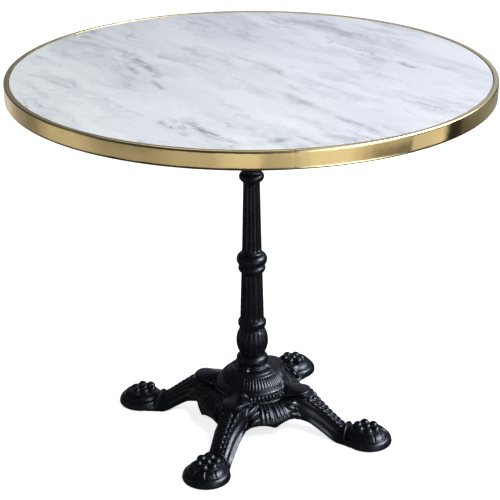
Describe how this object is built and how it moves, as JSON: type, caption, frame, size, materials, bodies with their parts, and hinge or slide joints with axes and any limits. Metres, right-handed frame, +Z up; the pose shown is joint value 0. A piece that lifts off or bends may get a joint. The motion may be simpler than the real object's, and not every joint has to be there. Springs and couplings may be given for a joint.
{
  "type": "bistro table",
  "caption": "Round pedestal table with a veined marble top in a brass rim, on a fluted black cast-iron column with arched legs, knuckled feet and levelling glides.",
  "frame": {"origin": "on the column's axis at floor height, midway between the levelling pads", "axes": "+Z up along the column; the legs point along +X (right), +Y (back), -X (left) and -Y (front)"},
  "size_m": [0.9, 0.9, 0.725],
  "materials": {
    "marble": "polished",
    "brass": "polished",
    "sealant": "matte",
    "plywood": "matte",
    "black_iron": "gloss",
    "zinc_steel": "satin",
    "nylon": "matte"
  },
  "bodies": {
    "table": {"marble_top": "marble", "edge_sealant": "sealant", "brass_rim": "brass", "rim_splice": "brass", "rim_core": "plywood", "backing_board": "plywood", "top_cross": "black_iron", "cross_screws": "zinc_steel", "cross_washers": "zinc_steel", "tie_rod": "zinc_steel", "tie_rod_top_washer": "zinc_steel", "tie_rod_top_nut": "zinc_steel", "tie_rod_bottom_washer": "zinc_steel", "tie_rod_bottom_nut": "zinc_steel", "neck": "black_iron", "collar_ring": "black_iron", "upper_column": "black_iron", "knop_ring": "black_iron", "lower_column": "black_iron", "vase_bulb": "black_iron", "base_hub": "black_iron", "leg_bolts": "zinc_steel", "leg_bolt_washers": "zinc_steel", "leg_right": "black_iron", "leg_back": "black_iron", "leg_left": "black_iron", "leg_front": "black_iron"},
    "pad_right": {"glide_pad_right": "nylon"},
    "stud_right": {"glide_stud_right": "zinc_steel"},
    "pad_back": {"glide_pad_back": "nylon"},
    "stud_back": {"glide_stud_back": "zinc_steel"},
    "pad_left": {"glide_pad_left": "nylon"},
    "stud_left": {"glide_stud_left": "zinc_steel"},
    "pad_front": {"glide_pad_front": "nylon"},
    "stud_front": {"glide_stud_front": "zinc_steel"}
  },
  "joints": [
    {"name": "glide_height_right", "type": "slide", "parent": "table", "child": "pad_right", "axis": [0, 0, -1], "range_m": [0, 0.01]},
    {"name": "glide_screw_right", "type": "hinge", "parent": "pad_right", "child": "stud_right", "pos_m": [0.241, 0, 0.003], "axis": [0, 0, -1], "range_deg": [0, 2880]},
    {"name": "glide_height_back", "type": "slide", "parent": "table", "child": "pad_back", "axis": [0, 0, -1], "range_m": [0, 0.01]},
    {"name": "glide_screw_back", "type": "hinge", "parent": "pad_back", "child": "stud_back", "pos_m": [0, 0.241, 0.003], "axis": [0, 0, -1], "range_deg": [0, 2880]},
    {"name": "glide_height_left", "type": "slide", "parent": "table", "child": "pad_left", "axis": [0, 0, -1], "range_m": [0, 0.01]},
    {"name": "glide_screw_left", "type": "hinge", "parent": "pad_left", "child": "stud_left", "pos_m": [-0.241, 0, 0.003], "axis": [0, 0, -1], "range_deg": [0, 2880]},
    {"name": "glide_height_front", "type": "slide", "parent": "table", "child": "pad_front", "axis": [0, 0, -1], "range_m": [0, 0.01]},
    {"name": "glide_screw_front", "type": "hinge", "parent": "pad_front", "child": "stud_front", "pos_m": [0, -0.241, 0.003], "axis": [0, 0, -1], "range_deg": [0, 2880]}
  ],
  "couplings": [
    {"joint": "glide_screw_right", "follows": "glide_height_right", "rad_per_m": 5026.5},
    {"joint": "glide_screw_back", "follows": "glide_height_back", "rad_per_m": 5026.5},
    {"joint": "glide_screw_left", "follows": "glide_height_left", "rad_per_m": 5026.5},
    {"joint": "glide_screw_front", "follows": "glide_height_front", "rad_per_m": 5026.5}
  ]
}
